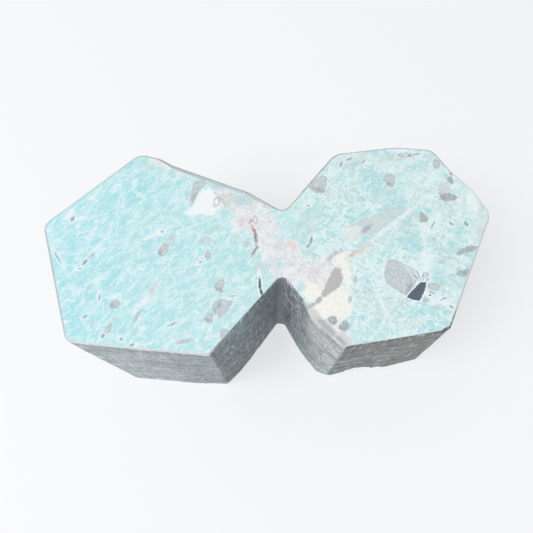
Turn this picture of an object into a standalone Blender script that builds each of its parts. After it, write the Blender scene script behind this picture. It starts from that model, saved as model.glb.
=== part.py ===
# A semi-polished amazonite stone: two hexagonal columns grown together at a narrow neck.
# The top face is sawn flat and polished, the walls are ground, and the underside is left rough
# round a flat spot that the stone rests on. Units are metres, with +Z up.
from collections import namedtuple
from math import acos, ceil, cos, floor, pi, sin, tan

import bmesh
import bpy
from mathutils import Matrix, Vector, noise

THICKNESS = 0.060
RIM_BEVEL = 0.0006
LOWER_BREAK = 0.0007
ARC_STEP = 0.0014
EDGE_STEP = 0.0070
WALL_STEP = 0.0085
UNDERSIDE_STEP = 0.0058

# The underside rises from an oval flat spot to the lower rim, with lumps and ledges on the way.
FLAT_SPOT_HALF = Vector((0.050, 0.018))
FLAT_SPOT_CENTRE = Vector((0.000, 0.001))
FLAT_SPOT_WANDER = 0.25
MARGIN_WIDTH = 0.011
LUMP_SIZE = 0.018
LUMP_HEIGHT = 0.0016
LEDGE_HEIGHT = 0.0012
LEDGE_LENGTH = 0.011
LEDGE_SHARPNESS = 3.0
WALL_WAVE_SIZE = 0.030
WALL_WAVE_DEPTH = 0.00035

# Each corner has its place and corner radius in the top face, how far its lower end stands
# from below that place, and how far the lower rim is lifted off the resting plane there.
Corner = namedtuple("Corner", "place radius lean lift")
OUTLINE = {
    "left tip": Corner((-0.0809, 0.0079), 0.0042, (0.0045, 0.0000), 0.0030),
    "left back": Corner((-0.0492, 0.0389), 0.0050, (0.0010, -0.0005), 0.0025),
    "left back shoulder": Corner((-0.0410, 0.0366), 0.0040, (0.0005, -0.0008), 0.0025),
    "left back dent": Corner((-0.0360, 0.0335), 0.0050, (0.0005, -0.0008), 0.0030),
    "waist": Corner((-0.0066, 0.0210), 0.0080, (0.0000, 0.0000), 0.0025),
    "back notch": Corner((0.0065, 0.0122), 0.0032, (0.0000, 0.0010), 0.0030),
    "right back": Corner((0.0264, 0.0380), 0.0075, (0.0005, 0.0005), 0.0030),
    "right back bend": Corner((0.0500, 0.0409), 0.0300, (0.0005, 0.0005), 0.0030),
    "right shoulder": Corner((0.0640, 0.0394), 0.0045, (0.0010, 0.0005), 0.0035),
    "right chip": Corner((0.0700, 0.0288), 0.0030, (0.0010, 0.0010), 0.0035),
    "right flank": Corner((0.0762, 0.0211), 0.0090, (0.0010, 0.0005), 0.0035),
    "right tip": Corner((0.0809, 0.0107), 0.0062, (0.0010, 0.0000), 0.0040),
    "right front": Corner((0.0592, -0.0322), 0.0022, (0.0055, 0.0021), 0.0052),
    "right front middle": Corner((0.0460, -0.0345), 0.0300, (0.0020, 0.0004), 0.0058),
    "right front hollow": Corner((0.0360, -0.0361), 0.0300, (0.0000, 0.0012), 0.0085),
    "right prow turn": Corner((0.0266, -0.0375), 0.0040, (0.0002, 0.0007), 0.0062),
    "right prow": Corner((0.0245, -0.0384), 0.0009, (-0.0002, 0.0014), 0.0062),
    "right notch flank": Corner((0.0192, -0.0329), 0.0100, (0.0010, -0.0018), 0.0050),
    "right notch swell": Corner((0.0144, -0.0284), 0.0035, (0.0012, -0.0006), 0.0045),
    "right notch wall": Corner((0.0123, -0.0221), 0.0040, (-0.0001, -0.0009), 0.0040),
    "front notch right": Corner((0.0068, -0.0141), 0.0012, (0.0006, 0.0002), 0.0030),
    "front notch left": Corner((0.0046, -0.0137), 0.0012, (-0.0005, 0.0004), 0.0030),
    "left notch wall": Corner((-0.0115, -0.0325), 0.0060, (-0.0008, -0.0020), 0.0010),
    "left prow": Corner((-0.0181, -0.0401), 0.0005, (0.0002, 0.0004), 0.0004),
    "left front middle": Corner((-0.0380, -0.0383), 0.0300, (0.0010, -0.0007), 0.0008),
    "left front": Corner((-0.0650, -0.0355), 0.0040, (0.0060, -0.0018), 0.0030),
}

# Chips broken from the rims: where, how far across each way, and how they are turned.
Chip = namedtuple("Chip", "place half_size turn")
CHIPS = {
    "chip under the right front": Chip((0.0385, -0.0370, 0.0065), (0.0085, 0.0046, 0.0085), 0.17),
    "chip beside it": Chip((0.0455, -0.0357, 0.0050), (0.0070, 0.0032, 0.0066), 0.15),
    "chip on the right shoulder": Chip((0.0716, 0.0300, 0.0605), (0.0034, 0.0020, 0.0022), 0.90),
    "chip at the right front corner": Chip((0.0585, -0.0325, 0.0605), (0.0030, 0.0016, 0.0018), 0.60),
    "chip on the left front rim": Chip((-0.0470, -0.0390, 0.0608), (0.0030, 0.0014, 0.0016), -0.1),
    "chip under the left back": Chip((-0.0560, 0.0330, 0.0010), (0.0070, 0.0040, 0.0050), 0.75),
    "chip under the right tip": Chip((0.0830, 0.0060, 0.0015), (0.0040, 0.0090, 0.0070), 0.10),
    "chip under the left tip": Chip((-0.0760, -0.0100, 0.0010), (0.0032, 0.0080, 0.0060), 0.25),
}
CHIP_ROUGHNESS = 0.16
SLIVER = 0.0001

STONE_COLOUR = (0.50, 0.79, 0.84, 1.0)
STONE_ROUGHNESS = 0.35


def rounded_corner(before, corner, after, radius):
    """Points of the arc that rounds one corner of the outline, in order."""
    back = (before - corner).normalized()
    ahead = (after - corner).normalized()
    opening = acos(max(-1.0, min(1.0, back.dot(ahead))))
    turn = pi - opening
    tangent = radius * tan(turn / 2)
    centre = corner + (back + ahead).normalized() * (radius / cos(turn / 2))
    start = corner + back * tangent - centre
    side = 1.0 if back.cross(ahead) < 0 else -1.0
    steps = max(1, round(radius * turn / ARC_STEP))
    points = []
    for step in range(steps + 1):
        angle = side * turn * step / steps
        spoke = Vector((start.x * cos(angle) - start.y * sin(angle),
                        start.x * sin(angle) + start.y * cos(angle)))
        points.append(centre + spoke)
    return points


def outline_points():
    """The top face's outline, with round corners and points along its straight edges."""
    corners = list(OUTLINE.values())
    arcs = []
    for index, corner in enumerate(corners):
        before = Vector(corners[index - 1].place)
        after = Vector(corners[(index + 1) % len(corners)].place)
        arcs.append(rounded_corner(before, Vector(corner.place), after, corner.radius))
    points = []
    for index, arc in enumerate(arcs):
        points.extend(arc)
        start = arc[-1]
        end = arcs[(index + 1) % len(arcs)][0]
        steps = max(1, ceil((end - start).length / EDGE_STEP))
        for step in range(1, steps):
            points.append(start.lerp(end, step / steps))
    return points


def at_corners(place, field):
    """A value that each corner gives exactly, blended by distance between them."""
    total = 0.0
    blend = None
    for corner in OUTLINE.values():
        value = getattr(corner, field)
        value = Vector(value) if field == "lean" else value
        gap = (Vector(corner.place) - place).length
        weight = 1.0 / (gap + 0.0002) ** 3
        blend = value * weight if blend is None else blend + value * weight
        total += weight
    return blend / total


def cut_across(bm, faces, normal, places):
    """Cuts the faces along parallel planes at the given places."""
    for place in places:
        alive = [face for face in faces if face.is_valid]
        edges = {edge for face in alive for edge in face.edges}
        corners = {vert for face in alive for vert in face.verts}
        cut = bmesh.ops.bisect_plane(
            bm, geom=alive + list(edges) + list(corners), dist=0.0006,
            plane_co=Vector(normal) * place, plane_no=normal)
        faces = [item for item in cut["geom"] if isinstance(item, bmesh.types.BMFace)]
    return faces


def steps_between(low, high, step):
    """Evenly spaced places between two ends, about one step apart."""
    count = max(1, round((high - low) / step))
    return [low + (high - low) * index / count for index in range(1, count)]


def stone_prism():
    """The straight prism under the outline, with broken edges and cuts to shape it by."""
    bm = bmesh.new()
    ring = [bm.verts.new((point.x, point.y, THICKNESS)) for point in outline_points()]
    top = bm.faces.new(ring)
    extruded = bmesh.ops.extrude_face_region(bm, geom=[top])["geom"]
    lower = [item for item in extruded if isinstance(item, bmesh.types.BMVert)]
    bmesh.ops.translate(bm, vec=(0, 0, -THICKNESS), verts=lower)
    bmesh.ops.recalc_face_normals(bm, faces=bm.faces)
    for height, width in ((THICKNESS, RIM_BEVEL), (0.0, LOWER_BREAK)):
        rim = [edge for edge in bm.edges
               if all(abs(vert.co.z - height) < 1e-6 for vert in edge.verts)]
        bmesh.ops.bevel(bm, geom=rim, offset=width, offset_type="OFFSET", segments=1,
                        profile=0.5, affect="EDGES", material=-1, clamp_overlap=True)
    walls = [face for face in bm.faces if abs(face.normal.z) < 0.1]
    cut_across(bm, walls, (0, 0, 1), steps_between(LOWER_BREAK, THICKNESS - RIM_BEVEL, WALL_STEP))
    underside = [face for face in bm.faces if face.normal.z < -0.99]
    low_x = min(vert.co.x for vert in bm.verts)
    high_x = max(vert.co.x for vert in bm.verts)
    low_y = min(vert.co.y for vert in bm.verts)
    high_y = max(vert.co.y for vert in bm.verts)
    underside = cut_across(bm, underside, (1, 0, 0), steps_between(low_x, high_x, UNDERSIDE_STEP))
    cut_across(bm, underside, (0, 1, 0), steps_between(low_y, high_y, UNDERSIDE_STEP))
    return bm


def smooth_rise(value):
    """0 below 0, 1 above 1, and smooth between."""
    value = max(0.0, min(1.0, value))
    return value * value * (3 - 2 * value)


def ledges(place):
    """A flight of cleavage ledges, each a nearly level tread and a short riser."""
    along = (place.x * 0.8 + place.y * 0.6) / LEDGE_LENGTH
    along += 1.2 * noise.noise(Vector((place.x, place.y, 5.1)) / (LEDGE_LENGTH * 2))
    within = along - floor(along)
    riser = smooth_rise((within - 0.5) * LEDGE_SHARPNESS + 0.5)
    return LEDGE_HEIGHT * (riser - within)


def outline_distance(place, outline):
    """The distance from a place in plan to the nearest side of the outline."""
    gaps = []
    for index, end in enumerate(outline):
        start = outline[index - 1]
        along = (place - start).dot(end - start) / (end - start).length_squared
        nearest = start.lerp(end, max(0.0, min(1.0, along)))
        gaps.append((place - nearest).length)
    return min(gaps)


def underside_height(place, outline):
    """How far the underside stands above the resting plane at a place in plan."""
    off_spot = place - FLAT_SPOT_CENTRE
    reach = Vector((off_spot.x / FLAT_SPOT_HALF.x, off_spot.y / FLAT_SPOT_HALF.y)).length
    reach += FLAT_SPOT_WANDER * noise.noise(Vector((place.x, place.y, 8.3)) / LUMP_SIZE)
    away = smooth_rise((reach - 1.0) / 0.7)
    margin = smooth_rise(1.0 - outline_distance(place, outline) / MARGIN_WIDTH)
    lump = noise.noise(Vector((place.x, place.y, 0.4)) / LUMP_SIZE)
    lump += 0.5 * noise.noise(Vector((place.x, place.y, 2.7)) / (LUMP_SIZE * 0.45))
    rough = max(0.0, LUMP_HEIGHT * (0.9 + lump) + ledges(place))
    lift = at_corners(place, "lift")
    return lift * margin + away * (0.5 * lift * (1 - margin) + rough)


def shape_stone(bm):
    """Leans the walls, lifts the lower rim and roughens the underside."""
    outline = outline_points()
    for vert in bm.verts:
        place = vert.co.xy
        depth = (THICKNESS - vert.co.z) / THICKNESS
        lean = at_corners(place, "lean") * depth
        wave = noise.noise(Vector((place.x, place.y, vert.co.z)) / WALL_WAVE_SIZE)
        outward = place.normalized() if place.length else Vector((0, 0))
        sway = outward * (WALL_WAVE_DEPTH * wave * smooth_rise(depth * 6))
        on_underside = all(face.normal.z < -0.99 for face in vert.link_faces)
        if on_underside:
            vert.co.z = underside_height(place, outline)
        else:
            vert.co.z += at_corners(place, "lift") * depth * depth
        vert.co.x += lean.x + sway.x
        vert.co.y += lean.y + sway.y


def centre_on_origin(bm):
    """Puts the middle of the stone's plan at the origin and its lowest point at zero."""
    low = Vector(min(vert.co[axis] for vert in bm.verts) for axis in range(3))
    high = Vector(max(vert.co[axis] for vert in bm.verts) for axis in range(3))
    shift = Vector((-(low.x + high.x) / 2, -(low.y + high.y) / 2, -low.z))
    bmesh.ops.translate(bm, vec=shift, verts=bm.verts)
    return shift


def stone_material():
    """Pale blue-green stone."""
    material = bpy.data.materials.new("amazonite")
    material.use_nodes = True
    shader = material.node_tree.nodes["Principled BSDF"]
    shader.inputs["Base Color"].default_value = STONE_COLOUR
    shader.inputs["Roughness"].default_value = STONE_ROUGHNESS
    shader.inputs["Metallic"].default_value = 0.0
    return material


def make_chip_cutter(name, chip, shift, collection):
    """A small angular lump that breaks one chip out of a rim."""
    bm = bmesh.new()
    bmesh.ops.create_icosphere(bm, subdivisions=1, radius=1.0)
    for vert in bm.verts:
        vert.co *= 1 + CHIP_ROUGHNESS * noise.noise(vert.co * 1.7 + Vector(chip.place) * 90)
    bmesh.ops.scale(bm, vec=chip.half_size, verts=bm.verts)
    bmesh.ops.rotate(bm, cent=(0, 0, 0), matrix=Matrix.Rotation(chip.turn, 3, "Z"), verts=bm.verts)
    mesh = bpy.data.meshes.new(name)
    bm.to_mesh(mesh)
    bm.free()
    cutter = bpy.data.objects.new(name, mesh)
    cutter.location = Vector(chip.place) + shift
    cutter.hide_render = True
    cutter.display_type = "WIRE"
    collection.objects.link(cutter)
    return cutter


def make_stone():
    """The stone, with its chips cut away."""
    stone_collection = bpy.data.collections.new("amazonite stone")
    cutter_collection = bpy.data.collections.new("chip cutters")
    bpy.context.scene.collection.children.link(stone_collection)
    bpy.context.scene.collection.children.link(cutter_collection)
    bm = stone_prism()
    shape_stone(bm)
    shift = centre_on_origin(bm)
    bmesh.ops.triangulate(bm, faces=bm.faces)
    mesh = bpy.data.meshes.new("amazonite")
    bm.to_mesh(mesh)
    bm.free()
    mesh.materials.append(stone_material())
    stone = bpy.data.objects.new("amazonite", mesh)
    stone_collection.objects.link(stone)
    for name, chip in CHIPS.items():
        cut = stone.modifiers.new(name, "BOOLEAN")
        cut.operation = "DIFFERENCE"
        cut.solver = "EXACT"
        cut.object = make_chip_cutter(name, chip, shift, cutter_collection)
    tidy = stone.modifiers.new("closes slivers left by the cuts", "WELD")
    tidy.merge_threshold = SLIVER
    return stone


for leftover in list(bpy.data.objects):
    bpy.data.objects.remove(leftover, do_unlink=True)
make_stone()
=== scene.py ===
"""Looks of the semi-polished amazonite stone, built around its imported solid."""

import math

import bmesh
import bpy
from mathutils import Matrix, Vector, noise
from mathutils.kdtree import KDTree


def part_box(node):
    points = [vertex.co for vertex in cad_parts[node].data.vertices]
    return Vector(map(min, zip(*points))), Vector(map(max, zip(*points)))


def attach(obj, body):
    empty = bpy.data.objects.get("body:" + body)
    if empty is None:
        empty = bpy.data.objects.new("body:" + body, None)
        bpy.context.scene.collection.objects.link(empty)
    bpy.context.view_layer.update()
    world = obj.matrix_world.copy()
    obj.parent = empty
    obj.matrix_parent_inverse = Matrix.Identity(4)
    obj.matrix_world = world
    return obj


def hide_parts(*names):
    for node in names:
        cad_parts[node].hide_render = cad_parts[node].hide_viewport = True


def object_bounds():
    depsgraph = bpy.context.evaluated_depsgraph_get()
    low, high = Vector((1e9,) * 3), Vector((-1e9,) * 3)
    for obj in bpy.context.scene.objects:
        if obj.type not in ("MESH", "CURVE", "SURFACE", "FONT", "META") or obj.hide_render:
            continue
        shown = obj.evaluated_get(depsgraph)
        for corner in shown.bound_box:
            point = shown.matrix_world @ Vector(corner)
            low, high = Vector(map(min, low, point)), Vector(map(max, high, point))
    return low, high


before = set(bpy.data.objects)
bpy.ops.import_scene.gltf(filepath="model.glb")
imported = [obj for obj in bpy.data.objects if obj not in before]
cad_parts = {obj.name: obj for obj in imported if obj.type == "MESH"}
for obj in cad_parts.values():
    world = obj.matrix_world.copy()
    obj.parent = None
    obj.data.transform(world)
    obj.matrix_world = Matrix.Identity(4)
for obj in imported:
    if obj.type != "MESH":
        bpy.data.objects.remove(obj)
bpy.context.view_layer.update()
cad_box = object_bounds()


# The stone's body
# One block of amazonite, sawn to a bow-tie outline. Its walls are ground, its top is lapped flat
# and polished, and its underside is the natural break. The solid gives the form, in metres, and
# is refined here so that saw marks, small flakes and the break's grain are real relief.

MM = 0.001
MERGE = 0.000002
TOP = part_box("amazonite")[1].z
FLAT = 0.00002
LEVEL = 0.999
POLISH_GRID = 0.003
FACET = 0.0014
MOST_HALVINGS = 7
SHARP_EDGE = math.radians(32)
UNDERSIDE_SLOPE = -0.45

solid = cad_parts["amazonite"]
body = bmesh.new()
body.from_mesh(solid.data)
bmesh.ops.remove_doubles(body, verts=body.verts, dist=MERGE)
body.normal_update()


def is_polished(face):
    return face.normal.z > LEVEL and all(abs(vert.co.z - TOP) < FLAT for vert in face.verts)


def parts_of(faces):
    edges = {edge for face in faces for edge in face.edges}
    verts = {vert for face in faces for vert in face.verts}
    return list(verts) + list(edges) + list(faces)


# The polished face is joined into one and cut by a plain grid. The walls and the underside are
# cut finer and finer until they have no long edge left.
bmesh.ops.dissolve_faces(body, faces=[face for face in body.faces if is_polished(face)])

for axis in (0, 1):
    across = Vector((0, 0, 0))
    across[axis] = 1
    lines = int((cad_box[1][axis] - cad_box[0][axis]) / POLISH_GRID)
    for line in range(1, lines):
        cut_at = Vector((0, 0, 0))
        cut_at[axis] = cad_box[0][axis] + line * POLISH_GRID
        polished = parts_of([face for face in body.faces if is_polished(face)])
        bmesh.ops.bisect_plane(body, geom=polished, dist=MERGE, plane_co=cut_at, plane_no=across)

for halving in range(MOST_HALVINGS):
    rough = [face for face in body.faces if not is_polished(face)]
    bmesh.ops.triangulate(body, faces=[face for face in rough if len(face.verts) > 3])
    rough = [face for face in body.faces if not is_polished(face)]
    rough_edges = {edge for face in rough for edge in face.edges}
    long_edges = [edge for edge in rough_edges if edge.calc_length() > FACET]
    if not long_edges:
        break
    bmesh.ops.subdivide_edges(body, edges=long_edges, cuts=1, use_single_edge=True)
    body.normal_update()

body.normal_update()
for face in body.faces:
    face.smooth = True
for edge in body.edges:
    edge.smooth = len(edge.link_faces) == 2 and edge.calc_face_angle(0) < SHARP_EDGE

# Two measures go with the mesh for its finish: how much of each point's surroundings is natural
# break, and how far it is from the polished face's rim.
break_share = body.verts.layers.float.new("natural_break")
for vert in body.verts:
    faces = vert.link_faces
    vert[break_share] = sum(face.normal.z < UNDERSIDE_SLOPE for face in faces) / len(faces)

rim_distance = body.verts.layers.float.new("rim_distance")
top_faces = [face for face in body.faces if is_polished(face)]
top_verts = {vert for face in top_faces for vert in face.verts}
rim_verts = [vert for vert in top_verts if not all(is_polished(face) for face in vert.link_faces)]
rim_tree = KDTree(len(rim_verts))
for number, vert in enumerate(rim_verts):
    rim_tree.insert(vert.co, number)
rim_tree.balance()
for vert in top_verts:
    vert[rim_distance] = rim_tree.find(vert.co)[2] / MM

# The relief, in millimetres, only takes stone away, so the block keeps to its solid.
# Saw marks run level round the walls; flakes have left shallow pits in them.

SAW_MARK_DEPTH = 0.07
SAW_MARKS_PER_MM = 0.75
SAW_MARK_DRIFT = 0.04
FLAKE_DEPTH = 1.1
FLAKES_PER_MM = 0.40
FLAKE_STRETCH = 0.7
FLAKE_SHARE = 0.30
RIM_KEPT = 0.7
RIM_FADE = 1.0
BREAK_GRAIN_DEPTH = 1.5
BREAK_GRAINS_PER_MM = 0.20
BREAK_FALLOFF = 0.8
BREAK_FINER = 2.2
BREAK_LAYERS = 4
BREAK_STEP = 0.45
FLAT_SPOT_EDGE = 0.1
FLAT_SPOT_FADE = 2.5


def smooth_step(value, low, high):
    share = min(max((value - low) / (high - low), 0), 1)
    return share * share * (3 - 2 * share)


def wall_depth(place):
    drift_x = place.x * SAW_MARK_DRIFT
    drift_y = place.y * SAW_MARK_DRIFT
    marks = noise.noise(Vector((drift_x, drift_y, place.z * SAW_MARKS_PER_MM)))
    stretched = Vector((place.x * FLAKE_STRETCH, place.y * FLAKE_STRETCH, place.z))
    flakes = noise.noise(stretched * FLAKES_PER_MM)
    return SAW_MARK_DEPTH * (0.5 + marks) + FLAKE_DEPTH * max(flakes - FLAKE_SHARE, 0)


def break_depth(place):
    lumps = place * BREAK_GRAINS_PER_MM
    lump = 0.5 + 0.5 * noise.fractal(lumps, BREAK_FALLOFF, BREAK_FINER, BREAK_LAYERS)
    depth = BREAK_GRAIN_DEPTH * min(max(lump, 0), 1)
    stepped = math.floor(depth / BREAK_STEP) * BREAK_STEP
    return (depth + 2 * stepped) / 3


moves = []
for vert in body.verts:
    place = vert.co / MM
    below_top = TOP / MM - place.z
    depth = 0
    if below_top > FLAT / MM:
        share = vert[break_share]
        wall = wall_depth(place) * smooth_step(below_top, RIM_KEPT, RIM_KEPT + RIM_FADE)
        natural = break_depth(place) * smooth_step(place.z, FLAT_SPOT_EDGE, FLAT_SPOT_FADE)
        depth = max(wall * (1 - share) + natural * share, 0)
    moves.append(vert.normal * depth * MM)
for vert, move in zip(body.verts, moves):
    vert.co -= move

stone_mesh = bpy.data.meshes.new("polished_stone")
bmesh.ops.triangulate(body, faces=[face for face in body.faces if len(face.verts) > 4])
body.to_mesh(stone_mesh)
body.free()
stone = bpy.data.objects.new("polished_stone", stone_mesh)
bpy.context.scene.collection.objects.link(stone)
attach(stone, "root")
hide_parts("amazonite")


# Blue-green feldspar
# Amazonite is microcline feldspar, coloured by traces of lead. It is laced with perthite, thin
# white streaks of albite: fine and slanting in the west lobe, a mosaic of grains in the east one.


class Field:
    """A shader socket that takes part in Python expressions: each operator adds a node.
    & keeps the larger of two values, and | the smaller."""

    def __init__(self, finish, socket):
        self.finish = finish
        self.socket = socket

    def maths(self, operation, *values):
        return self.finish.node("Math", {"operation": operation}, dict(enumerate(values)))

    def __add__(self, other):
        return self.maths("ADD", self, other)

    def __sub__(self, other):
        return self.maths("SUBTRACT", self, other)

    def __rsub__(self, other):
        return self.maths("SUBTRACT", other, self)

    def __mul__(self, other):
        return self.maths("MULTIPLY", self, other)

    def __truediv__(self, other):
        return self.maths("DIVIDE", self, other)

    def __abs__(self):
        return self.maths("ABSOLUTE", self)

    def __and__(self, other):
        return self.maths("MAXIMUM", self, other)

    def __or__(self, other):
        return self.maths("MINIMUM", self, other)

    __radd__ = __add__
    __rmul__ = __mul__


class Finish:
    """The node tree of a material, with one method that adds any node to it."""

    def __init__(self, name):
        self.material = bpy.data.materials.new(name)
        self.material.use_nodes = True
        self.tree = self.material.node_tree
        self.shader = self.tree.nodes["Principled BSDF"]

    def node(self, kind, settings, inputs, output=0):
        made = self.tree.nodes.new("ShaderNode" + kind)
        for name, setting in settings.items():
            if name == "stops":
                self.set_stops(made.color_ramp, setting)
            else:
                setattr(made, name, setting)
        for name, value in inputs.items():
            self.feed(made.inputs[name], value)
        return Field(self, made.outputs[output])

    def set_stops(self, ramp, stops):
        for position, stop_colour in stops:
            ramp.elements.new(position).color = stop_colour
        ramp.elements.remove(ramp.elements[0])
        ramp.elements.remove(ramp.elements[-1])

    def feed(self, socket, value):
        if isinstance(value, Field):
            self.tree.links.new(value.socket, socket)
        else:
            socket.default_value = value


def paint(red, green, blue):
    """A colour as seen on a screen, 0 to 255, as the shader's linear light."""
    light = []
    for level in (red, green, blue):
        share = level / 255
        light.append(share / 12.92 if share < 0.04045 else ((share + 0.055) / 1.055) ** 2.4)
    return (*light, 1)


finish = Finish("amazonite")
stone_mesh.materials.append(finish.material)


def rise(value, low, high):
    """0 below low, 1 above high and smooth between; falls instead where low is the larger."""
    sockets = {"Value": value, "From Min": low, "From Max": high}
    return finish.node("MapRange", {"interpolation_type": "SMOOTHSTEP"}, sockets)


def blend(share, first, second):
    """The first colour, turned into the second where share is 1."""
    return finish.node("Mix", {"data_type": "RGBA"}, {0: share, 6: first, 7: second}, 2)


def vectors(operation, *values, output=0):
    return finish.node("VectorMath", {"operation": operation}, dict(enumerate(values)), output)


def turned(vector, degrees, stretch):
    """A place turned so that its x runs along a slant, and squeezed along it by stretch."""
    sockets = {"Vector": vector, "Rotation": (0, 0, math.radians(degrees)), "Scale": (stretch, 1, 1)}
    return finish.node("Mapping", {"vector_type": "TEXTURE"}, sockets)


def cloud(vector, per_mm, detail=2, roughness=0.5, distortion=0):
    sockets = {"Vector": vector, "Scale": per_mm, "Detail": detail}
    sockets.update({"Roughness": roughness, "Distortion": distortion})
    return finish.node("TexNoise", {}, sockets)


def threads(vector, per_mm, width, detail=2, distortion=0.5):
    """Thin wandering lines: where a cloud passes through its middle value."""
    return rise(abs(cloud(vector, per_mm, detail, 0.55, distortion) - 0.5), width, 0)


def cells(vector, per_mm, feature, output):
    return finish.node("TexVoronoi", {"feature": feature}, {"Vector": vector, "Scale": per_mm}, output)


# The markings' places are in millimetres, with z = 0 on the polished face and the stone below it.
# They are laid out from a point a little in front of the middle of the stone's plan.
MARKINGS_FORWARD = 1.0
CRUMPLE = 3.2
RIPPLE = 0.5
WOBBLE = 0.8

objects_own = finish.node("TexCoord", {}, {}, "Object")
place = vectors("MULTIPLY_ADD", objects_own, (1 / MM,) * 3, (0, MARKINGS_FORWARD, -TOP / MM))
axes = finish.node("SeparateXYZ", {}, {0: place}, "X")
east = Field(finish, axes.socket.node.outputs["X"])
north = Field(finish, axes.socket.node.outputs["Y"])
height = Field(finish, axes.socket.node.outputs["Z"])

ripple = finish.node("TexNoise", {}, {"Vector": place, "Scale": 0.9, "Detail": 3}, "Color")
swell = finish.node("TexNoise", {}, {"Vector": place, "Scale": 0.3, "Detail": 2}, "Color")
crumpled = vectors("MULTIPLY_ADD", swell, (CRUMPLE,) * 3, place)
crumpled = vectors("MULTIPLY_ADD", ripple, (RIPPLE,) * 3, crumpled)
wobbly = vectors("MULTIPLY_ADD", ripple, (WOBBLE,) * 3, place)
wobbly = vectors("SUBTRACT", wobbly, (WOBBLE / 2,) * 3)
crumpled = vectors("SUBTRACT", crumpled, ((CRUMPLE + RIPPLE) / 2,) * 3)

TURQUOISE = paint(175, 231, 238)
PALE_TURQUOISE = paint(205, 239, 242)
DUSK = paint(168, 214, 218)
EAST_TURQUOISE = paint(186, 230, 232)
SEA_GREEN = paint(188, 228, 227)
PALE_GREEN = paint(218, 241, 238)
GREY_GREEN = paint(204, 225, 222)
STREAK_WHITE = paint(240, 252, 253)
WEST_SLANT = 52
WISP_SLANT = 48
MOSAIC_SLANT = 28
MOSAIC_STRETCH = 1.5
MOSAIC_BEND = 4
MOSAIC_GRAINS_PER_MM = 0.13
MOSAIC_SWING = 1.2

# Clouds and grit that mottle the whole stone, and one that marks the zones with white threads.
broad = cloud(place, 0.05, 3, 0.6)
middling = cloud(place, 0.32, 4, 0.6)
mottle = cloud(place, 0.8, 3, 0.6)
grit = cloud(place, 1.7, 3, 0.7)
thread_zones = cloud(place, 0.13, 3, 0.6)
east_lobe = rise(east + broad * 30, 16, 30)

# The west lobe is turquoise, greener towards the neck, with slanting streaks and dusk between.
west_grain = turned(crumpled, WEST_SLANT, 1.6)
west_tone = cloud(west_grain, 0.28, 4, 0.62)
westward = rise(east, 10, -75) * 0.12
west_colour = blend(rise(west_tone + broad * 0.3 - westward, 0.44, 0.76), TURQUOISE, PALE_TURQUOISE)
greener = rise(east + broad * 60, -50, 30) * rise(middling, 0.36, 0.56)
west_colour = blend(greener * 0.8, west_colour, SEA_GREEN)
west_mottle = cloud(turned(crumpled, WEST_SLANT, 2.4), 0.55, 5, 0.66)
west_colour = blend(rise(west_mottle, 0.5, 0.7) * 0.6, west_colour, STREAK_WHITE)
west_colour = blend(rise(west_mottle, 0.46, 0.32) * 0.6, west_colour, DUSK)
west_long = cells(turned(crumpled, WEST_SLANT, 2.8), 0.22, "DISTANCE_TO_EDGE", "Distance")
west_threads = rise(west_long, 0.075, 0.0) * rise(thread_zones, 0.4, 0.52)
west_colour = blend(west_threads * 0.55, west_colour, STREAK_WHITE)

# The east lobe is a mosaic of paler and greener grains, each streaked along its own slant.
mosaic_place = vectors("MULTIPLY_ADD", swell, (MOSAIC_BEND,) * 3, crumpled)
mosaic_place = turned(mosaic_place, MOSAIC_SLANT, MOSAIC_STRETCH)
mosaic_tint = cells(mosaic_place, MOSAIC_GRAINS_PER_MM, "F1", "Color")
tints = finish.node("SeparateColor", {}, {0: mosaic_tint})
tint = Field(finish, tints.socket.node.outputs[0])
tint_grey = Field(finish, tints.socket.node.outputs[1])
tint_slant = Field(finish, tints.socket.node.outputs[2])
mosaic_edge = cells(mosaic_place, MOSAIC_GRAINS_PER_MM, "DISTANCE_TO_EDGE", "Distance")
east_colour = blend(rise(tint + middling * 0.6, 0.35, 1.1), EAST_TURQUOISE, PALE_GREEN)
east_colour = blend(rise(tint_grey, 0.5, 0.9) * 0.5, east_colour, GREY_GREEN)
east_turn = {"Vector": crumpled, "Angle": tint_slant * MOSAIC_SWING}
east_grain = finish.node("VectorRotate", {"rotation_type": "Z_AXIS"}, east_turn)
east_mottle = cloud(turned(east_grain, 0, 2.6), 0.8, 4, 0.68)
east_colour = blend(rise(east_mottle, 0.51, 0.66) * 0.75, east_colour, STREAK_WHITE)
east_colour = blend(rise(east_mottle, 0.47, 0.33) * 0.8, east_colour, DUSK)
mosaic_lines = rise(mosaic_edge, 0.05, 0.0) * rise(thread_zones, 0.36, 0.48)
east_colour = blend(mosaic_lines * 0.8, east_colour, STREAK_WHITE)

colour = blend(east_lobe, west_colour, east_colour)
wisps = threads(turned(crumpled, WISP_SLANT, 2.4), 0.3, 0.045, 2) * rise(middling, 0.38, 0.5)
colour = blend(wisps * (0.6 + east_lobe * 0.2), colour, STREAK_WHITE)
colour = blend(rise(grit, 0.46, 0.34) * 0.45, colour, DUSK)
colour = blend(rise(grit, 0.55, 0.68) * 0.5, colour, STREAK_WHITE)


# White and cream feldspar
# A band of albite crosses the neck between the lobes and widens to a cream patch beside the
# front notch. White halos and small patches stand round many of the dark grains.

REACH = 8
GRAIN_TAPER = 0.4
wobbly_point = turned(wobbly, 0, 1)


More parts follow.
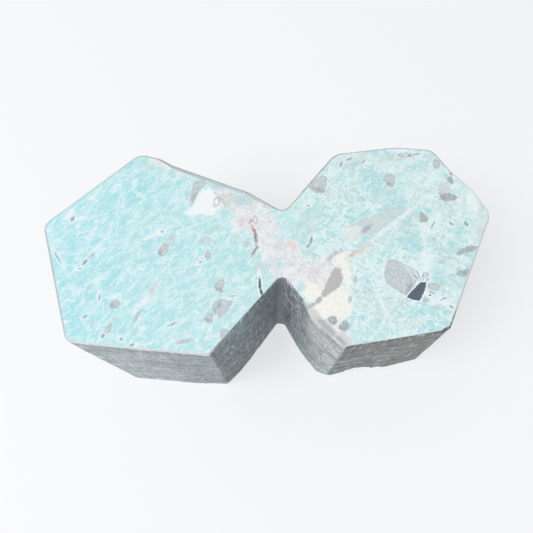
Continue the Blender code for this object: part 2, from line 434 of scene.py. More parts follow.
def spot(x, y, half_length, half_width, slant=0, depth=4):
    """How far a place is outside a lens-shaped grain, in millimetres; less than 0 inside.
    It is measured out to REACH times the half width, and stays level beyond that."""
    sockets = {"Vector": wobbly_point, "Location": (x, y, 0)}
    sockets["Rotation"] = (0, 0, math.radians(slant))
    sockets["Scale"] = (REACH * half_length, REACH * half_width, REACH * depth)
    local = finish.node("Mapping", {"vector_type": "TEXTURE"}, sockets)
    nearness = finish.node("TexGradient", {"gradient_type": "SPHERICAL"}, {0: local}, "Fac")
    furthest = REACH * half_width
    terms = {0: nearness, 1: -furthest, 2: furthest - half_width}
    return finish.node("Math", {"operation": "MULTIPLY_ADD"}, terms)


def grain(*corners):
    """How far a place is outside a straight-sided grain with these corners, anticlockwise.
    The grain narrows by GRAIN_TAPER for each millimetre below the polished face."""
    outside = None
    for (x, y), (next_x, next_y) in zip(corners, corners[1:] + corners[:1]):
        side = math.hypot(next_x - x, next_y - y)
        out_x = (next_y - y) / side
        out_y = (x - next_x) / side
        outward = vectors("DOT_PRODUCT", wobbly, (out_x, out_y, -GRAIN_TAPER), output="Value")
        beyond = outward - (out_x * x + out_y * y)
        outside = beyond if outside is None else outside & beyond
    return outside


def nearest(grains, so_far=None):
    """The least distance to any of the grains, each joined as soon as it is made."""
    for field in grains:
        so_far = field if so_far is None else so_far | field
    return so_far


DEEP_TURQUOISE = paint(162, 222, 232)
WHITE = paint(247, 251, 252)
BAND_WHITE = paint(243, 245, 247)
BAND_PINK = paint(224, 217, 219)
BAND_BROWN = paint(198, 184, 182)
CREAM = paint(252, 251, 244)
CREAM_SHADE = paint(228, 222, 208)

# Each spot has its place east and north, its half length and half width, and its slant.
BAND = [
    (-9.5, 10.5, 3.6, 3.2, 90),
    (-6.5, 10, 6, 3.5, 100),
    (-2.5, 9, 7.5, 2.8, 95),
    (-0.5, 0.5, 7.5, 2.8, 100),
    (3.5, -3, 4.5, 3, 120),
    (5, -10, 4.5, 3.8, 0),
    (13, -12.5, 6.5, 4.6, 165),
    (20, -10.5, 6, 5, 40),
    (17, -17, 5, 4, 130),
    (-16.5, 18.5, 4.5, 2.6, 150),
    (-11.5, 14, 4, 2.2, 120),
    (-40, 34.2, 5, 1.6, 150),
    (-33, 31, 4, 1, 152),
    (-3.0, 15.5, 4.2, 2.2, 145),
    (-10.4, 6.2, 2.6, 2.0, 90),
    (1.3, 7, 5, 2.2, 100),
    (7.8, -1.5, 3.2, 2.8, 0),
    (8, -6.4, 5, 2.6, 0),
    (21.6, -31.0, 6, 3.4, -46),
    (16.2, -27.5, 4, 2.2, -55),
    (-14.5, 20.6, 3.4, 1.3, 155),
]
BAND_GAPS = [
    (-8, 2, 3, 1.6, 15),
    (-1, -8.6, 1.8, 1.1, 30),
    (4.2, -8, 1.4, 0.8, 20),
]
HALOS = [
    (-72.3, 12, 2.4, 0.9, 60),
    (-68.5, 10.6, 2.6, 0.7, 10),
    (-60.8, -2, 2.2, 0.7, 50),
    (-41, 3.5, 2.2, 0.7, 30),
    (-41, -21, 3, 0.8, 50),
    (-52, -19.5, 1.2, 0.7, 0),
    (74.5, 16.5, 3.5, 1.6, 100),
    (53, -12, 2.4, 1.8, 60),
    (74.8, 14.2, 2.6, 1.3, 90),
    (56.5, -22, 3, 1.4, 0),
    (38.6, -24.5, 4.5, 0.4, -72),
    (44.2, 7, 8.5, 0.35, 38),
    (54.5, -3, 6, 0.35, 84),
]
WHITE_PATCH = [
    (-30, 12.2), (-20, 11.6), (-17.4, 14.5), (-18.6, 19.6), (-21, 22.8), (-24.3, 22.6),
]
CREAMS = [
    (15, -18.5, 4.2, 3, 120),
    (21.5, -24.3, 6.2, 3.8, 0),
    (22, -20, 5, 2.6, 35),
    (26.3, -22, 3, 1.8, 90),
    (26.8, -11.5, 6, 1.4, 95),
    (25.2, -6, 2.8, 1.8, 30),
]
DEEP_SPOTS = [
    (38.5, 28.5, 2.2, 1.8, 0),
    (46.5, 17, 3.4, 2.2, 20),
    (55.5, 31, 5, 1.8, 18),
    (51, 1, 3.5, 2.6, 60),
    (57.5, -11.5, 2.5, 1.8, 20),
    (48, -26, 3, 1.6, 10),
    (68, 4.5, 2.5, 1.8, 60),
    (14.3, -2.6, 1.8, 1.1, 30),
    (11.5, -16.3, 1.5, 0.9, 100),
    (-8.5, -9.5, 2.4, 1.6, 40),
    (-46, 23, 2.2, 1.8, 0),
    (-69, -0.5, 3, 1.2, 100),
    (-63, -28, 3, 1.8, 60),
]

# Coarse and fine unevenness, in millimetres, for the edges of grains and patches.
ragged = (middling - 0.5) * 8 + (mottle - 0.5) * 4 + (grit - 0.5) * 3
frayed = (mottle - 0.5) * 3 + (grit - 0.5) * 3
deep = rise(nearest(spot(*values) for values in DEEP_SPOTS) + frayed, 1.4, -1.0)
colour = blend(deep * rise(mottle, 0.36, 0.56) * 0.6, colour, DEEP_TURQUOISE)
gaps = nearest(spot(*values) for values in BAND_GAPS)
band = nearest(spot(*values) for values in BAND) & (0 - gaps)
band = rise(band + ragged, 1.0, -0.6)
white_patch = grain(*WHITE_PATCH)
halo = rise(nearest(spot(*values) for values in HALOS) + frayed, 0.9, -0.5)
cream = rise(nearest(spot(*values) for values in CREAMS) + frayed, 0.6, -0.5)
band_colour = blend(rise(cloud(place, 0.45, 5, 0.75), 0.44, 0.68), BAND_WHITE, BAND_PINK)
band_lines = threads(crumpled, 0.2, 0.03) * rise(middling, 0.4, 0.6)
band_colour = blend(band_lines * 0.6, band_colour, BAND_BROWN)
band_colour = blend(rise(grit, 0.54, 0.66) * 0.45, band_colour, BAND_BROWN)
cream_colour = blend(rise(grit, 0.5, 0.66) * 0.8, CREAM, CREAM_SHADE)
colour = blend(band * 0.92, colour, band_colour)
colour = blend(halo * 0.7, colour, WHITE)
colour = blend(rise(white_patch + frayed * 1.2, 0.9, -0.7) * 0.95, colour, WHITE)
colour = blend(cream * 0.95, colour, cream_colour)


# Iron stains and the red vein
# Iron has coloured the band: a red vein below a small brown ring, a second ring by the white
# patch, a rust streak to the north of the cream patch, and faint peach, salmon and tan clouds.
# Fainter clouds of grey, green and blue lie in and round the band.

# Each stain has its colour, its strength, the softness of its edge, and its spots.
STAINS = [
    (paint(206, 128, 126), 0.85, 0.5, [(-5.0, 5.4, 1.5, 0.4, -68)]),
    (paint(150, 106, 122), 0.85, 0.5, [(-4.1, 1.8, 2.0, 0.38, -86)]),
    (paint(168, 140, 146), 0.8, 0.5, [(-6.1, 8.9, 1.0, 0.3, 65)]),
    (paint(206, 196, 190), 0.7, 1,
     [(-16.4, 17.6, 2.4, 0.6, -50), (-15.5, 19.6, 2.0, 0.5, 10)]),
    (paint(232, 200, 206), 0.7, 1, [(-8.7, 9.4, 1.4, 0.7, 5)]),
    (paint(238, 222, 208), 0.7, 1,
     [(-6.0, 14.2, 1.4, 0.8, 20), (4.5, 0.5, 0.6, 1.0, 0), (-15.3, 19.2, 1.0, 0.6, 0)]),
    (paint(240, 214, 207), 0.75, 1,
     [(8.3, -0.3, 1.5, 1.1, -30), (9.6, -1.6, 0.9, 0.5, 20)]),
    (paint(206, 184, 152), 0.8, 0.6, [(29.2, -4.7, 1.5, 0.4, 35)]),
    (paint(220, 208, 194), 0.7, 1,
     [(32.2, -2.9, 2.2, 0.8, 35), (-38.8, -17, 1.4, 0.5, 70)]),
    (paint(228, 204, 202), 0.6, 0.8,
     [(35.3, -0.6, 0.8, 0.6, 0), (30.5, 7, 1.2, 0.6, 20)]),
    (paint(178, 170, 182), 0.7, 1,
     [(24, -3.9, 1.4, 0.4, 28), (21.9, -5.6, 0.8, 0.35, 60)]),
    (paint(214, 228, 212), 0.45, 1,
     [(76.3, 8.0, 5, 1.3, 78), (37, 37.5, 3, 1.2, 5)]),
    (paint(232, 232, 228), 0.6, 1, [(31, 3.4, 3.6, 2.0, 30)]),
    (paint(214, 216, 214), 0.9, 0.8,
     [(15.2, -26.8, 3.4, 1.7, -60), (24.6, -35.0, 2.8, 1.6, -60)]),
    (paint(180, 178, 178), 0.85, 0.7,
     [(19.2, -30.6, 3.6, 1.3, -46), (23.2, -34.8, 2.6, 0.7, -48)]),
    (paint(192, 226, 238), 0.7, 1,
     [(11.5, -16.2, 1.4, 1.1, 100), (14.2, -2.9, 1.6, 1.0, 50)]),
    (paint(202, 226, 230), 0.7, 1,
     [(-0.6, -8.8, 2.2, 1.1, 30), (3.9, -9.0, 1.5, 0.9, 80)]),
    (paint(204, 222, 222), 0.55, 1, [(-2.6, -10.4, 3.2, 2.0, 95)]),
    (paint(224, 222, 225), 0.8, 1, [(15.8, -11.2, 2.0, 1.7, 0)]),
    (paint(198, 217, 219), 0.75, 1,
     [(-9.5, 17.7, 4.4, 2.1, -5), (-19.0, 24.2, 2.0, 0.9, -10)]),
    (paint(200, 220, 218), 0.45, 1,
     [(-46, 33, 2.6, 1.5, 0), (31, 34, 5, 2.4, 10), (50, 36.6, 6, 1.5, 5), (14.5, 8.5, 2.4, 5, 20)]),
]
RINGS = [(-4.5, 9.4, 1.3, 0.8, 95), (-18.6, 17.2, 1.8, 1.0, 75)]
RING_BROWN = paint(184, 166, 162)

for stain_colour, strength, softness, spots in STAINS:
    stain = nearest(spot(*values) for values in spots) + frayed * (0.8 * softness)
    stain = rise(stain, softness, -0.6 * softness)
    colour = blend(stain * strength, colour, stain_colour)
rings = nearest(abs(spot(*values)) for values in RINGS) + frayed * 0.3
colour = blend(rise(rings, 0.5, 0.0) * 0.55, colour, RING_BROWN)


# Quartz grains
# Grey, glassy grains of quartz are locked in the feldspar. Most have a darker outline where
# light is lost at the grain's wall, and the largest is by the dark mineral in the east lobe.
# The one beside the cream patch is tan.

QUARTZ_GREY = paint(193, 200, 201)
QUARTZ_LINE = paint(163, 168, 171)
FAINT_QUARTZ = paint(198, 214, 216)
QUARTZ_PALE = paint(212, 222, 224)
PALE_QUARTZ = paint(211, 219, 220)
DARK_QUARTZ = paint(166, 178, 179)
TAN_QUARTZ = paint(190, 186, 183)
TAN_PALE = paint(216, 214, 211)
LARGE_GRAINS = [
    [(-28.9, 17.0), (-24.2, 23.4), (-22.8, 25.4), (-24.2, 27.2), (-27.6, 25.8), (-28.4, 20.5)],
    [(-17.0, -17.8), (-15.2, -18.1), (-14.4, -14.6), (-15.0, -13.3), (-16.8, -14.0), (-18.1, -16.3)],
    [(-15.6, -27.3), (-13.3, -25.0), (-11.6, -21.6), (-15.2, -20.2), (-17.0, -21.0), (-18.7, -23.8)],
    [(-18.6, -29.0), (-17.7, -27.9), (-18.4, -25.5), (-19.8, -25.4), (-20.5, -27.0), (-19.8, -28.8)],
    [(-14.0, -34.4), (-11.9, -33.0), (-12.4, -31.4), (-14.4, -30.7), (-15.6, -32.0), (-15.2, -33.6)],
    [(18.0, 20.6), (20.8, 20.6), (21.9, 24.0), (22.3, 27.4), (20.4, 28.4), (16.4, 25.0), (15.2, 23.1)],
    [(45.0, 23.3), (46.4, 22.9), (47.8, 25.3), (47.2, 28.4), (44.8, 29.0), (43.3, 26.2)],
    [(46.5, -20.0), (49.0, -17.0), (50.6, -13.5), (50.0, -10.3), (46.0, -7.6), (41.8, -6.4),
     (39.6, -11.5), (40.0, -15.0), (42.5, -17.3)],
    [(-20.8, -6.3), (-19.5, -5.5), (-19.8, -3.8), (-21.0, -2.5), (-21.8, -3.8), (-21.8, -5.0)],
]
PALE_GRAINS = [
    [(63.3, 19.0), (67.4, 19.0), (67.3, 22.5), (66.3, 25.0), (64.3, 24.2), (63.0, 21.5)],
    [(35.9, 2.7), (40.0, 4.8), (43.6, 8.0), (43.0, 12.4), (38.0, 10.8), (34.0, 9.8), (32.6, 7.0)],
    [(42.5, 7.2), (47.0, 10.6), (50.8, 14.0), (46.6, 14.2), (41.6, 12.9)],
]
GREY_SPOTS = [
    (-36.5, -2.3, 2.6, 1.6, 70),
    (-51.0, -22.2, 1.7, 1.6, 0),
    (-52.3, -31.2, 2.6, 0.9, 62),
    (-43.1, -26.6, 2.2, 0.6, 65),
    (-26.7, -34.9, 2.6, 0.6, 12),
    (-62.2, -5.0, 2.4, 0.6, 55),
    (17.0, -21.3, 1.3, 0.9, 60),
    (64, 33, 2.3, 1.4, 80),
    (53.6, 37.0, 2.8, 1.2, 5),
    (55.6, -16.7, 2.3, 1.4, 0),
    (52.5, -21.4, 1.1, 0.7, 0),
    (53.5, -12.6, 1.3, 1.0, 60),
    (29.8, -14.0, 1.3, 0.6, 85),
    (27.4, -21.0, 1.2, 0.6, 75),
]
FAINT_SPOTS = [
    (-34.6, 1.2, 3.0, 1.6, 60),
    (-57.5, -28.5, 1.8, 0.6, 80),
    (-22.0, 1.2, 2.0, 1.8, 0),
    (-18.5, 6.2, 1.8, 1.3, 30),
    (-43.2, -31.2, 1.2, 0.9, 0),
    (48.5, 36.0, 2.8, 1.6, 0),
    (61.5, -6.5, 3.2, 0.9, 15),
    (56.0, -24.0, 1.6, 1.1, 0),
    (-7.2, 0.5, 1.7, 1.3, 0),
    (-50.0, -27.3, 0.8, 0.8, 0),
    (34.0, 33.0, 3.0, 1.2, 10),
]
# Darker spots: some are the grains' own darker grey, and some are painted shade on the grains'
# lower-left sides.
SIDE_SHADE_AND_DARK_GREY_SPOTS = [
    (-37.6, -3.2, 1.2, 0.7, 60),
    (-51.8, -22.8, 1.0, 0.5, -40),
    (-16.6, -23.4, 2.2, 0.6, 60),
    (-27.2, 18.5, 3.0, 0.6, 75),
    (-16.5, -17.0, 1.4, 0.5, -30),
    (-19.5, -27.9, 1.2, 0.5, -20),
    (19.0, 22.0, 2.2, 0.8, -20),
    (45.0, 24.5, 1.2, 0.6, -30),
    (35.2, 5.5, 2.4, 0.9, 40),
    (47.5, -17.0, 2.2, 0.8, 60),
    (64.6, 17.8, 1.6, 0.8, 0),
    (55.2, 9.3, 1.2, 0.6, 60),
    (67.6, 17.6, 1.6, 0.6, 10),
    (20.8, -28.2, 1.0, 0.6, 0),
    (24.9, -30.7, 1.5, 1.0, 20),
    (21.4, -28.4, 1.3, 0.9, 0),
    (-5.0, -3.8, 2.0, 0.7, 62),
    (64.5, 18.4, 1.6, 1.0, 0),
    (67.9, 18.0, 1.7, 0.6, 15),
    (68.4, 26.0, 1.6, 0.6, 80),
]
DARKER_GRAINS = [
    [(63.4, 17.0), (65.4, 16.4), (68.0, 16.9), (69.6, 18.2), (67.0, 19.9), (63.0, 20.0)],
    [(68.4, 23.8), (69.3, 24.5), (68.4, 27.3), (66.9, 26.4), (66.9, 24.9)],
    [(55.0, 8.0), (56.6, 8.0), (57.9, 9.5), (55.6, 12.0), (54.5, 11.7), (54.8, 9.8)],
    [(65.2, -4.9), (68.5, -4.3), (71.6, -3.6), (73.3, -2.2), (71.0, -1.4), (66.6, -3.2)],
    [(65.3, -12.9), (67.2, -12.9), (68.8, -11.0), (67.8, -10.3), (65.4, -11.0), (64.0, -12.0)],
    [(21.5, -29.9), (22.8, -28.6), (22.3, -26.9), (20.3, -26.7), (19.5, -28.0)],
    [(-5.9, -5.6), (-4.6, -4.6), (-3.2, -2.0), (-3.8, -1.0), (-5.0, -2.2)],
    [(24.5, -32.3), (26.3, -31.0), (26.5, -29.8), (25.3, -28.2), (23.4, -29.5), (23.0, -30.7)],
]
TAN_CHIPS = [
    (13.7, -23.4, 1.3, 0.7, 25),
    (15.2, -22.6, 1.0, 0.5, 20),
    (17.1, -21.2, 1.2, 0.7, 50),
]
TAN_GRAIN = [
    (18.9, -20.4), (24.4, -16.3), (25.6, -13.6), (25.0, -10.0), (23.4, -9.3), (22.2, -10.6),
    (17.9, -19.2),
]

large = nearest(grain(*corners) for corners in LARGE_GRAINS)
large = nearest((spot(*values) for values in GREY_SPOTS), large)
faint = nearest(spot(*values) for values in FAINT_SPOTS)
pale = nearest(grain(*corners) for corners in PALE_GRAINS) + frayed * 0.35
darker = nearest(grain(*corners) for corners in DARKER_GRAINS)
tan = nearest((spot(*values) for values in TAN_CHIPS), grain(*TAN_GRAIN))
large = large + frayed * 0.35
quartz_colour = blend(rise(mottle + grit * 0.5, 0.68, 0.96), QUARTZ_GREY, QUARTZ_PALE)
colour = blend(rise(large, 1.3, 0.2) * rise(mottle, 0.45, 0.6) * 0.5, colour, STREAK_WHITE)
colour = blend(rise(faint + frayed * 0.5, 0.4, -0.4) * 0.6, colour, FAINT_QUARTZ)
colour = blend(rise(large, 0.3, -0.25) * 0.86, colour, quartz_colour)
colour = blend(rise(pale, 0.4, -0.4) * 0.75, colour, PALE_QUARTZ)
pale_line = rise(abs(pale + 0.1), 0.4, 0.05) * rise(mottle, 0.48, 0.6)
colour = blend(pale_line * 0.7, colour, QUARTZ_GREY)
grey_line = rise(abs(large + 0.15), 0.4, 0.05) * rise(mottle, 0.5, 0.6)
colour = blend(grey_line * 0.8, colour, QUARTZ_LINE)
# Painted shade on the lower-left sides of grains, together with the darker grey of a few grains.
side_shade_and_dark_grey = rise(nearest(spot(*values) for values in SIDE_SHADE_AND_DARK_GREY_SPOTS) + frayed * 0.5, 0.5, -0.5)
colour = blend(side_shade_and_dark_grey * 0.7, colour, QUARTZ_LINE)
darker_colour = blend(rise(mottle, 0.42, 0.66), DARK_QUARTZ, QUARTZ_GREY)
colour = blend(rise(darker + frayed * 0.35, 0.35, -0.25) * 0.92, colour, darker_colour)
tan_colour = blend(rise(grit, 0.5, 0.7) * 0.7, TAN_QUARTZ, TAN_PALE)
colour = blend(rise(tan + frayed * 0.35, 0.3, -0.25) * 0.95, colour, tan_colour)


# Dark minerals and cracks
# One blue-black crystal sits in the east lobe with cracks spreading from it. Smaller specks,
# thin dark threads and an open crack by the front notch are scattered over the face.

SLATE = paint(92, 103, 116)
SLATE_PALE = paint(120, 130, 142)
SPECK_GREY = paint(138, 150, 158)
DARK_CRYSTAL = [
    (46.3, -20.4), (48.5, -21.3), (50.4, -21.6), (52.6, -18.0), (53.5, -15.0), (51.3, -15.1),
    (48.2, -18.2),
]
SLATE_SPOTS = [
    (-2.6, -15.2, 2.3, 0.4, -86),
    (-2.0, -18.4, 1.5, 0.42, -74),
    (54.0, -19.6, 0.4, 0.3, 0),
]
SPECKS = [
    (-70.8, 10.6, 1.0, 0.6, 70),
    (-73.4, -4.9, 2.3, 0.22, -54),
    (-63.6, -7.0, 1.2, 0.55, 60),
    (-64.9, -9.2, 0.5, 0.3, 0),
    (-56.5, -19.8, 1.0, 0.32, 88),
    (-60.3, -26.5, 0.7, 0.35, 40),
    (-53.5, -33.0, 0.7, 0.5, 60),
    (-47.3, -34.2, 0.7, 0.35, -40),
    (-43.6, -36.0, 0.8, 0.4, 20),
    (-37.7, 5.0, 0.6, 0.35, -30),
    (-23.2, -7.0, 0.5, 0.3, 0),
    (-11.7, -19.6, 1.0, 0.22, 10),
    (-3.7, -13.2, 0.5, 0.2, 45),
    (-3.6, -1.2, 0.8, 0.3, -40),
    (-4.6, -3.0, 1.7, 0.45, 60),
    (-19.3, 20.9, 0.4, 0.3, 0),
    (14.9, 15.0, 0.5, 0.35, 0),
    (15.4, 1.1, 1.5, 0.5, 75),
    (14.3, -1.0, 1.0, 0.45, 45),
    (65.4, 7.2, 0.9, 0.45, -50),
    (70.7, 7.1, 1.0, 0.65, -60),
    (68.6, 28.5, 0.8, 0.4, -50),
    (58.8, 6.8, 1.5, 0.28, 60),
    (60.4, -23.7, 0.8, 0.35, -30),
    (58.3, -21.0, 0.9, 0.25, 20),
    (36.3, 34.1, 1.5, 0.22, 50),
    (28.0, 33.2, 1.3, 0.4, 70),
    (31.3, 35.6, 1.4, 0.4, 30),
    (54.3, 37.0, 0.9, 0.5, 20),
    (50.0, -13.0, 1.6, 0.2, 125),
    (51.2, -12.6, 1.7, 0.22, 103),
    (52.6, -13.2, 1.3, 0.2, 72),
    (53.9, -14.3, 0.9, 0.2, 45),
    (54.6, -18.6, 1.2, 0.2, -30),
    (-31.0, -29.2, 1.4, 0.25, 25),
    (50.6, 37.4, 1.0, 0.3, 40),
    (57.0, 37.6, 1.2, 0.3, 10),
]
specks = nearest(spot(*values) for values in SPECKS)
slate = nearest((spot(*values) for values in SLATE_SPOTS), grain(*DARK_CRYSTAL))
specks = specks + (grit - 0.5) * 0.6
slate = slate + (grit - 0.5) * 0.3
colour = blend(rise(specks, 1.2, 0.2) * 0.45, colour, STREAK_WHITE)
colour = blend(rise(specks, 0.2, -0.15) * 0.75, colour, SPECK_GREY)
colour = blend(rise(abs(slate - 0.35), 0.35, 0.05) * 0.8, colour, WHITE)
slate_colour = blend(rise(grit, 0.55, 0.7), SLATE, SLATE_PALE)
colour = blend(rise(slate, 0.15, -0.15), colour, slate_colour)


# Ground walls
# The walls were ground on a coarse wheel and left unpolished, so they are matt and grey, with
# level streaks and only a trace of the blue-green. The front of the east lobe is browner.

WALL_DARK = paint(84, 92, 99)
WALL_LIGHT = paint(222, 225, 226)
WEST_END = -70
EAST_END = 62
NOTCH_ROOT = 4.5
NOTCH_CRACK = -2.2
PROW_EDGE = 24
SCRAPE_SLANT = -77
STONE_SHOWING = 0.06
# The front's tones, each at its place east in millimetres.
FRONT_TONES_AND_NOTCH_SHADE = [
    (-66, paint(180, 186, 188)),
    (-50, paint(180, 188, 190)),
    (-24, paint(146, 152, 155)),
    (-18.3, paint(158, 164, 167)),
    # Deep in the front notch the tones are darker: partly the wall's own slate tone, partly painted
    # shade.
    (-17.9, paint(88, 98, 105)),
    (-10, paint(88, 98, 105)),
    (-4, paint(76, 87, 95)),
    (3, paint(100, 107, 113)),
    (7, paint(78, 94, 100)),
    (11, paint(88, 102, 107)),
    (15, paint(138, 146, 148)),
    (24.2, paint(196, 201, 202)),
    (24.7, paint(86, 79, 73)),
    (34, paint(80, 73, 68)),
    (42, paint(98, 88, 79)),
    (58, paint(98, 89, 80)),
]
BACK_TONE = paint(178, 185, 188)
FACET_PALE = paint(196, 195, 196)
ROOT_BROWN = paint(140, 134, 137)
NOTCH_FOOT_SHADE = paint(66, 72, 78)
NOTCH_TEAL = paint(122, 152, 157)
CRACK_DARK = paint(72, 82, 90)

# Streaks left by the wheel run level, some marks run upright, and the notch's root is plainer.
level_streaks = cloud(vectors("MULTIPLY", crumpled, (0.1, 0.1, 1)), 0.35, 5, 0.7)
fine_streaks = cloud(vectors("MULTIPLY", wobbly, (0.12, 0.12, 1)), 1.1, 5, 0.8)
scratch_lines = cloud(vectors("MULTIPLY", wobbly, (0.07, 0.07, 1)), 2.2, 2, 0.6)
upright_marks = cloud(vectors("MULTIPLY", wobbly, (1, 1, 0.2)), 0.9, 3, 0.65)
root_calm = 1 - rise(abs(east - NOTCH_ROOT), 5, 1) * rise(north, -8, -12) * 0.7

# The front's tones, painted shade in the notch and at its foot, its crack, teal and scrapes, and the
# pale facet.
along = (east - WEST_END) / (EAST_END - WEST_END)
tones = []
for tone_east, tone in FRONT_TONES_AND_NOTCH_SHADE:
    tones.append(((tone_east - WEST_END) / (EAST_END - WEST_END), tone))
front_colour = finish.node("ValToRGB", {"stops": tones}, {0: along})
crack_band = rise(abs(east - NOTCH_CRACK), 2.2, 0.3) * rise(height, -54, -12)
front_colour = blend(crack_band * 0.7, front_colour, CRACK_DARK)
rim_teal = rise(height, -24, -3) * rise(east, -18, -13) * rise(east, -3, -6)
front_colour = blend(rim_teal * 0.5, front_colour, NOTCH_TEAL)
front_colour = blend(rise(abs(east - NOTCH_ROOT), 5, 1) * 0.35, front_colour, ROOT_BROWN)
teal_share = rise(height, -18, -48) * rise(east, 6, 12) * rise(east, 30, 22)
front_colour = blend(teal_share * 0.4, front_colour, NOTCH_TEAL)
# Painted shade: the foot of the notch walls is darkened near the floor.
notch_foot_shade_share = rise(height, -46, -58) * rise(east, -20, -15) * rise(east, 8, 3)
front_colour = blend(notch_foot_shade_share * 0.6, front_colour, NOTCH_FOOT_SHADE)
wall_plane = finish.node("CombineXYZ", {}, {0: east, 1: height})
scrapes = threads(turned(wall_plane, SCRAPE_SLANT, 5), 0.5, 0.06) * rise(height, -42, -30)
scrapes = scrapes * rise(east, 5, 7) * rise(east, 15, 11)
front_colour = blend(scrapes * 0.75, front_colour, WALL_LIGHT)
facet_share = rise(height + (east - PROW_EDGE) * 2 + ragged * 0.6, -46, -24)
facet_share = facet_share * rise(east, 12, 15) * rise(east, PROW_EDGE + 1, PROW_EDGE)
front_colour = blend(facet_share * 0.85, front_colour, FACET_PALE)
wall_colour = blend(rise(north, -12, 0), front_colour, BACK_TONE)
WALL_MARKS = [
    (level_streaks, 0.54, 0.36, 0.55, WALL_DARK),
    (level_streaks, 0.54, 0.70, 0.40, WALL_LIGHT),
    (fine_streaks, 0.49, 0.38, 0.65, WALL_DARK),
    (fine_streaks, 0.54, 0.66, 0.80, WALL_LIGHT),
    (scratch_lines, 0.56, 0.70, 0.50, WALL_LIGHT),
    (scratch_lines, 0.42, 0.30, 0.60, WALL_DARK),
    (upright_marks, 0.52, 0.68, 0.35, WALL_LIGHT),
    (upright_marks, 0.48, 0.32, 0.50, WALL_DARK),
]
for marks, none_at, full_at, strength, tone in WALL_MARKS:
    wall_colour = blend(rise(marks, none_at, full_at) * root_calm * strength, wall_colour, tone)
wall_colour = blend(rise(grit, 0.55, 0.68) * 0.3, wall_colour, WALL_LIGHT)
wall_colour = blend(rise(grit, 0.45, 0.32) * 0.5, wall_colour, WALL_DARK)
wall_colour = blend(STONE_SHOWING, wall_colour, colour)


# Natural underside
# The underside is the stone's own break, never worked: rough pale feldspar, with the grain
# showing through and rust in its hollows.

BREAK_PALE = paint(206, 222, 222)
BREAK_GREY = paint(168, 184, 186)
BREAK_RUST = paint(186, 166, 140)
BREAK_STONE_SHOWING = 0.35

underside = finish.node("Attribute", {"attribute_name": "natural_break"}, {}, "Fac")
under_share = rise(underside, 0.35, 0.65)
break_mottle = cloud(place, 0.35, 5, 0.65)
break_colour = blend(rise(break_mottle, 0.35, 0.65), BREAK_GREY, BREAK_PALE)
break_colour = blend(BREAK_STONE_SHOWING, break_colour, colour)
rust = rise(cloud(place, 0.1, 4, 0.7), 0.55, 0.7)
break_colour = blend(rust * 0.6, break_colour, BREAK_RUST)


# Polish
# The top is glossy right up to a ground rim; everything below the rim is matt and finely
# scratched.

POLISH_ROUGHNESS = 0.16
GROUND_ROUGHNESS = 0.62
BREAK_ROUGHNESS = 0.8
SCRATCH_STRENGTH = 0.6
SCRATCH_DEPTH = 0.3 * MM
RIM_PALE = paint(214, 222, 222)
RIM_GREY = paint(168, 173, 175)
EAST_PAINTED_LIGHT = paint(236, 240, 240)

# The ground rim is grey along the back and the west end and paler along the front. At the east end the
# rim and the top of the wall below it are painted pale: painted light on the side the lamp leaves in
# shade.
polished_share = rise(height, -0.16, -0.04)
outer_colour = blend(under_share, wall_colour, break_colour)
# Painted light: the top of the east end's wall, turned away from the lamp, is painted pale.
east_painted_light = rise(east + north * 0.5, 46, 52) * rise(height, -24, -10)
outer_colour = blend(east_painted_light * 0.8, outer_colour, EAST_PAINTED_LIGHT)
rim_share = rise(height + frayed * 0.2, -0.8, -0.4)
rim_grey_share = rise(north + abs(east) * 0.6, 0, 12) * rise(east - north, 62, 36)
rim_colour = blend(rim_grey_share, RIM_PALE, RIM_GREY)
outer_colour = blend(rim_share * rise(east, -12, -22) * 0.8, outer_colour, rim_colour)
rim_gap = finish.node("Attribute", {"attribute_name": "rim_distance"}, {}, "Fac")
worn = rise(abs(east + 19), 24, 12) * rise(north, 8, 14) * 0.9
rim_line = rise(rim_gap - worn + frayed * 0.2, 0.5, 0.0)
colour = blend(rim_line * (0.5 + rise(north, 24, 34) * 0.35), colour, rim_colour)
final_colour = blend(polished_share, outer_colour, colour)
roughness = GROUND_ROUGHNESS + under_share * (BREAK_ROUGHNESS - GROUND_ROUGHNESS)
roughness = roughness + polished_share * (POLISH_ROUGHNESS - roughness)
scratches = level_streaks * 0.6 + fine_streaks * 0.4
relief = (scratches * (1 - under_share) + break_mottle * under_share * 2) * (1 - polished_share)
bump_sockets = {"Height": relief, "Strength": SCRATCH_STRENGTH, "Distance": SCRATCH_DEPTH}
bump = finish.node("Bump", {}, bump_sockets, "Normal")
finish.feed(finish.shader.inputs["Base Color"], final_colour)
finish.feed(finish.shader.inputs["Roughness"], roughness)
finish.feed(finish.shader.inputs["Normal"], bump)


# Table
# A plain pale surface that the stone rests on; it isn't part of the stone. It is matt, and a
# little glow of its own keeps it nearly white.

TABLE_HALF = 2.0
TABLE_PALE = paint(170, 171, 172)
TABLE_LIT = paint(253, 254, 255)
TABLE_GLOW = 0.55
TABLE_ROUGHNESS = 0.9
TABLE_SHINE = 0.1

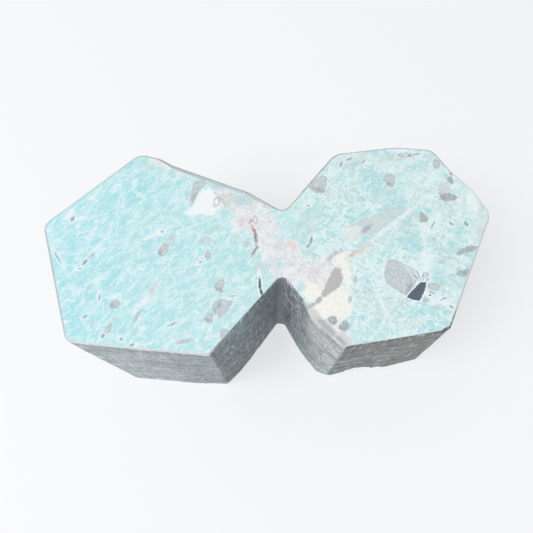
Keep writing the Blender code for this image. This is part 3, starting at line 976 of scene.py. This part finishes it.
table_mesh = bpy.data.meshes.new("table")
sheet = bmesh.new()
bmesh.ops.create_grid(sheet, x_segments=1, y_segments=1, size=TABLE_HALF)
sheet.to_mesh(table_mesh)
sheet.free()
table = bpy.data.objects.new("table", table_mesh)
bpy.context.scene.collection.objects.link(table)
table_finish = Finish("table_top")
table_finish.shader.inputs["Base Color"].default_value = TABLE_PALE
table_finish.shader.inputs["Roughness"].default_value = TABLE_ROUGHNESS
table_finish.shader.inputs["Specular IOR Level"].default_value = TABLE_SHINE
table_finish.shader.inputs["Emission Color"].default_value = TABLE_LIT
table_finish.shader.inputs["Emission Strength"].default_value = TABLE_GLOW
table_mesh.materials.append(table_finish.material)


# Light and camera
# Soft studio light: an even pale surround and one broad lamp, above and in front to the west.
# The camera looks down steeply from in front.

SURROUND_PALE = paint(250, 251, 253)
SURROUND_STRENGTH = 0.55
LAMP_SIZE = 0.9
LAMP_PLACE = Vector((-0.75, -0.45, 1.2))
LAMP_POWER = 13
IMAGE_SIZE = 533
FOCAL_PIXELS = 450
SENSOR = 36
NEAREST_SEEN = 0.01
CAMERA_PLACE = Vector((0.002119, -0.071533, TOP + 0.14188))
CAMERA_RIGHT = Vector((0.99984996, 0, -0.01732198))
CAMERA_UP = Vector((0.00690221, 0.91718343, 0.39840546))

world = bpy.data.worlds.new("studio")
bpy.context.scene.world = world
world.use_nodes = True
surround = world.node_tree.nodes["Background"]
surround.inputs["Color"].default_value = SURROUND_PALE
surround.inputs["Strength"].default_value = SURROUND_STRENGTH

lamp_light = bpy.data.lights.new("lamp", "AREA")
lamp_light.size = LAMP_SIZE
lamp_light.energy = LAMP_POWER
lamp = bpy.data.objects.new("lamp", lamp_light)
lamp.location = LAMP_PLACE
lamp.rotation_euler = (-LAMP_PLACE).to_track_quat("-Z", "Y").to_euler()
bpy.context.scene.collection.objects.link(lamp)

lens = bpy.data.cameras.new("camera")
lens.sensor_width = SENSOR
lens.lens = SENSOR * FOCAL_PIXELS / IMAGE_SIZE
lens.clip_start = NEAREST_SEEN
camera = bpy.data.objects.new("camera", lens)
back = CAMERA_RIGHT.cross(CAMERA_UP)
turn = Matrix((CAMERA_RIGHT, CAMERA_UP, back)).transposed()
camera.matrix_world = Matrix.Translation(CAMERA_PLACE) @ turn.to_4x4()
bpy.context.scene.collection.objects.link(camera)
bpy.context.scene.camera = camera
bpy.context.scene.view_settings.view_transform = "Standard"
